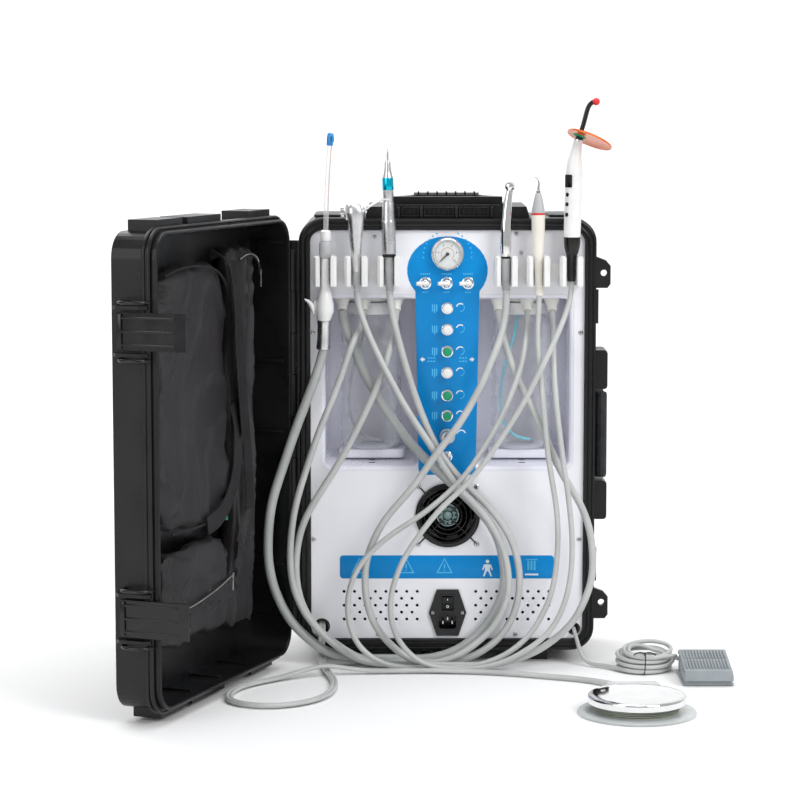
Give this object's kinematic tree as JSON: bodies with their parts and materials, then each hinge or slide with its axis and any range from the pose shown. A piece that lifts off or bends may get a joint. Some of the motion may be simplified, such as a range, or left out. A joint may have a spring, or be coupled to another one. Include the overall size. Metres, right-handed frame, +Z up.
{
  "type": "portable dental unit with ultrasonic scaler",
  "caption": "Open hard case holding a dental delivery unit: ultrasonic scaler and other handpieces on forks, looping hoses, valve panel, water bottles, lid bags and floor controls.",
  "frame": {"origin": "on the floor, at the centre of the case body under its middle skid", "axes": "+Z up, -Y out of the case front towards the user, +X to the user's right"},
  "size_m": [0.7375, 0.5516, 0.7198],
  "materials": {
    "black_plastic": "textured black moulded plastic",
    "black_nylon": "woven black nylon",
    "panel_white": "smooth cool white moulded panel",
    "white_plastic": "smooth white plastic",
    "ivory_plastic": "smooth ivory plastic",
    "grey_plastic": "fine textured grey plastic",
    "hose_grey": "soft light grey tubing",
    "green_plastic": "smooth green plastic",
    "orange_filter": "clear orange filter",
    "clear_plastic": "clear polymer",
    "chrome": "bright chrome",
    "satin_steel": "satin silver metal",
    "sheet_steel": "plain sheet steel"
  },
  "bodies": {
    "case": {"base_shell": "black_plastic", "front_panel": "panel_white", "bottle_left": "clear_plastic", "bottle_right": "clear_plastic", "gauge_case": "chrome", "fan_frame": "black_plastic", "power_inlet": "black_plastic", "holder_left": "white_plastic", "holder_right": "white_plastic", "suction_valve": "white_plastic", "saliva_ejector": "clear_plastic", "syringe_body": "satin_steel", "syringe_nozzle": "chrome", "low_speed_handpiece": "satin_steel", "high_speed_handpiece": "chrome", "scaler_sleeve": "ivory_plastic", "scaler_nose_cone": "grey_plastic", "scaler_tip": "chrome", "curing_light_body": "white_plastic", "suction_hose": "hose_grey", "syringe_hose": "hose_grey", "low_speed_hose": "hose_grey", "high_speed_hose": "hose_grey", "scaler_hose": "hose_grey", "curing_light_cable": "hose_grey", "foot_control_tube": "hose_grey", "foot_switch_cable": "hose_grey", "foot_switch_hank": "hose_grey", "foot_switch_base": "grey_plastic", "foot_control_base": "grey_plastic", "compressor": "sheet_steel", "ultrasonic_generator": "sheet_steel"},
    "lid": {"lid_shell": "black_plastic", "tool_bag": "black_nylon", "lid_organiser": "black_nylon"},
    "latch_upper": {"latch_upper": "black_plastic"},
    "latch_lower": {"latch_lower": "black_plastic"},
    "top_handle": {"top_handle": "black_plastic"},
    "side_handle": {"side_handle": "grey_plastic"},
    "gauge_needle": {"gauge_needle": "black_plastic"},
    "toggle_1": {"toggle_1": "chrome"},
    "toggle_2": {"toggle_2": "chrome"},
    "toggle_3": {"toggle_3": "chrome"},
    "knob_1": {"knob_1": "white_plastic"},
    "knob_2": {"knob_2": "white_plastic"},
    "knob_3": {"knob_3": "green_plastic"},
    "knob_4": {"knob_4": "white_plastic"},
    "knob_5": {"knob_5": "green_plastic"},
    "knob_6": {"knob_6": "green_plastic"},
    "regulator_knob": {"regulator_knob": "satin_steel"},
    "fan_rotor": {"fan_rotor": "black_plastic"},
    "rocker_switch": {"rocker_switch": "black_plastic"},
    "suction_lever": {"suction_lever": "white_plastic"},
    "air_button": {"air_button": "satin_steel"},
    "water_button": {"water_button": "satin_steel"},
    "straight_bur": {"straight_bur": "chrome"},
    "light_guide": {"light_guide": "black_plastic", "light_shield": "orange_filter"},
    "foot_switch_pedal": {"foot_switch_pedal": "grey_plastic"},
    "foot_control_disc": {"foot_control_disc": "chrome"}
  },
  "joints": [
    {"name": "lid_hinge", "type": "hinge", "parent": "case", "child": "lid", "pos_m": [-0.197, -0.085, 0.2925], "axis": [0, 0, -1], "range_deg": [0, 60]},
    {"name": "latch_upper_pivot", "type": "hinge", "parent": "lid", "child": "latch_upper", "pos_m": [-0.37587, -0.43554, 0.4575], "axis": [0, 0, -1], "range_deg": [0, 100]},
    {"name": "latch_lower_pivot", "type": "hinge", "parent": "lid", "child": "latch_lower", "pos_m": [-0.37587, -0.43554, 0.1275], "axis": [0, 0, -1], "range_deg": [0, 100]},
    {"name": "top_handle_fold", "type": "hinge", "parent": "case", "child": "top_handle", "pos_m": [0, -0.046, 0.5835], "axis": [1, 0, 0], "range_deg": [0, 90]},
    {"name": "side_handle_fold", "type": "hinge", "parent": "case", "child": "side_handle", "pos_m": [0.197, -0.018, 0.291], "axis": [0, 0, 1], "range_deg": [0, 90]},
    {"name": "needle_turn", "type": "hinge", "parent": "case", "child": "gauge_needle", "pos_m": [0, -0.0875, 0.524], "axis": [0, 1, 0], "range_deg": [0, 270]},
    {"name": "toggle_1_turn", "type": "hinge", "parent": "case", "child": "toggle_1", "pos_m": [-0.028, -0.0803, 0.487], "axis": [0, 1, 0], "range_deg": [0, 90]},
    {"name": "toggle_2_turn", "type": "hinge", "parent": "case", "child": "toggle_2", "pos_m": [-0.001, -0.0803, 0.487], "axis": [0, 1, 0], "range_deg": [0, 90]},
    {"name": "toggle_3_turn", "type": "hinge", "parent": "case", "child": "toggle_3", "pos_m": [0.026, -0.0803, 0.487], "axis": [0, 1, 0], "range_deg": [0, 90]},
    {"name": "knob_1_turn", "type": "hinge", "parent": "case", "child": "knob_1", "pos_m": [0, -0.0803, 0.455], "axis": [0, 1, 0], "range_deg": [0, 270]},
    {"name": "knob_2_turn", "type": "hinge", "parent": "case", "child": "knob_2", "pos_m": [0, -0.0803, 0.428], "axis": [0, 1, 0], "range_deg": [0, 270]},
    {"name": "knob_3_turn", "type": "hinge", "parent": "case", "child": "knob_3", "pos_m": [0, -0.0803, 0.4], "axis": [0, 1, 0], "range_deg": [0, 270]},
    {"name": "knob_4_turn", "type": "hinge", "parent": "case", "child": "knob_4", "pos_m": [0, -0.0803, 0.373], "axis": [0, 1, 0], "range_deg": [0, 270]},
    {"name": "knob_5_turn", "type": "hinge", "parent": "case", "child": "knob_5", "pos_m": [0, -0.0803, 0.344], "axis": [0, 1, 0], "range_deg": [0, 270]},
    {"name": "knob_6_turn", "type": "hinge", "parent": "case", "child": "knob_6", "pos_m": [0, -0.0803, 0.318], "axis": [0, 1, 0], "range_deg": [0, 270]},
    {"name": "regulator_turn", "type": "hinge", "parent": "case", "child": "regulator_knob", "pos_m": [0, -0.0803, 0.292], "axis": [0, 1, 0], "range_deg": [0, 300]},
    {"name": "fan_spin", "type": "hinge", "parent": "case", "child": "fan_rotor", "pos_m": [0.001, -0.07, 0.19], "axis": [0, 1, 0], "continuous": true},
    {"name": "rocker_tilt", "type": "hinge", "parent": "case", "child": "rocker_switch", "pos_m": [0.001, -0.0783, 0.0765], "axis": [1, 0, 0], "range_deg": [0, 18]},
    {"name": "suction_lever_turn", "type": "hinge", "parent": "case", "child": "suction_lever", "pos_m": [-0.1693, -0.101, 0.453], "axis": [0, -1, 0], "range_deg": [0, 60]},
    {"name": "air_button_press", "type": "slide", "parent": "case", "child": "air_button", "axis": [1, 0, 0], "range_m": [0, 0.0012], "stiffness_N_per_m": 300, "springref_m": -0.001},
    {"name": "water_button_press", "type": "slide", "parent": "case", "child": "water_button", "axis": [1, 0, 0], "range_m": [0, 0.0012], "stiffness_N_per_m": 300, "springref_m": -0.001},
    {"name": "bur_spin", "type": "hinge", "parent": "case", "child": "straight_bur", "pos_m": [-0.0756, -0.101, 0.648], "axis": [0, 0, 1], "continuous": true},
    {"name": "light_guide_turn", "type": "hinge", "parent": "case", "child": "light_guide", "pos_m": [0.1635, -0.101, 0.6675], "axis": [0.229, 0, 0.9734], "range_deg": [-120, 120]},
    {"name": "pedal_press", "type": "hinge", "parent": "case", "child": "foot_switch_pedal", "pos_m": [0.32, -0.144, 0.0245], "axis": [1, 0, 0], "range_deg": [0, 2.4], "stiffness_Nm_per_rad": 8, "springref_deg": -1.72},
    {"name": "disc_press", "type": "slide", "parent": "case", "child": "foot_control_disc", "axis": [0, 0, -1], "range_m": [0, 0.005], "stiffness_N_per_m": 3000, "springref_m": -0.005}
  ]
}
